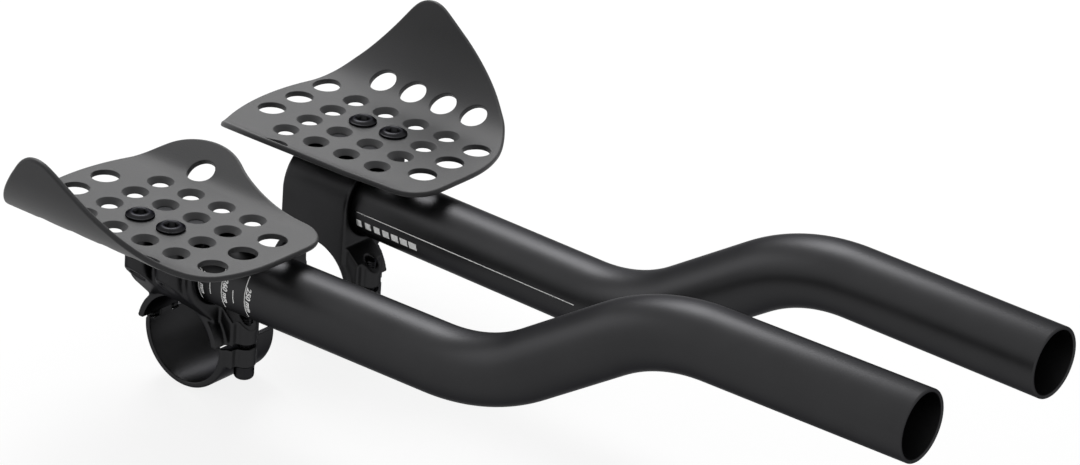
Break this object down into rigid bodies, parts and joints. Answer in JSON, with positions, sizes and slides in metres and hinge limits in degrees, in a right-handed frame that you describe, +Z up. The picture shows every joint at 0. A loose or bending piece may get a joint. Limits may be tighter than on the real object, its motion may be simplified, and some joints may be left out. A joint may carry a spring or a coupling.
{
  "type": "aero handlebar extension",
  "caption": "Clip-on aero handlebar extensions: S-bent tubes slide in hinged handlebar clamps under perforated armrest plates.",
  "frame": {"origin": "on the handlebar's axis, midway between the two clamps", "axes": "+X forward along the tubes, +Y to the rider's left along the handlebar, +Z up"},
  "size_m": [0.3383, 0.202, 0.1031],
  "materials": {
    "tube_aluminium": "bead-blasted, black anodised, satin",
    "clamp_aluminium": "forged, black anodised, satin",
    "armrest_plastic": "moulded, fine matt grain",
    "fastener_steel": "black oxide"
  },
  "bodies": {
    "clamps": {"left_clamp_body": "clamp_aluminium", "left_handlebar_cap": "clamp_aluminium", "left_cap_hinge_pin": "fastener_steel", "left_cap_bolt": "fastener_steel", "left_armrest_plate": "armrest_plastic", "left_armrest_screw_rear": "fastener_steel", "left_armrest_screw_front": "fastener_steel", "right_clamp_body": "clamp_aluminium", "right_handlebar_cap": "clamp_aluminium", "right_cap_hinge_pin": "fastener_steel", "right_cap_bolt": "fastener_steel", "right_armrest_plate": "armrest_plastic", "right_armrest_screw_rear": "fastener_steel", "right_armrest_screw_front": "fastener_steel"},
    "left_tube": {"left_extension_tube": "tube_aluminium"},
    "right_tube": {"right_extension_tube": "tube_aluminium"}
  },
  "joints": [
    {"name": "left_tube_slide", "type": "slide", "parent": "clamps", "child": "left_tube", "axis": [0.9997, -0.0227, 0], "range_m": [-0.025, 0]},
    {"name": "right_tube_slide", "type": "slide", "parent": "clamps", "child": "right_tube", "axis": [0.9997, 0.0227, 0], "range_m": [-0.02, 0.005]}
  ]
}
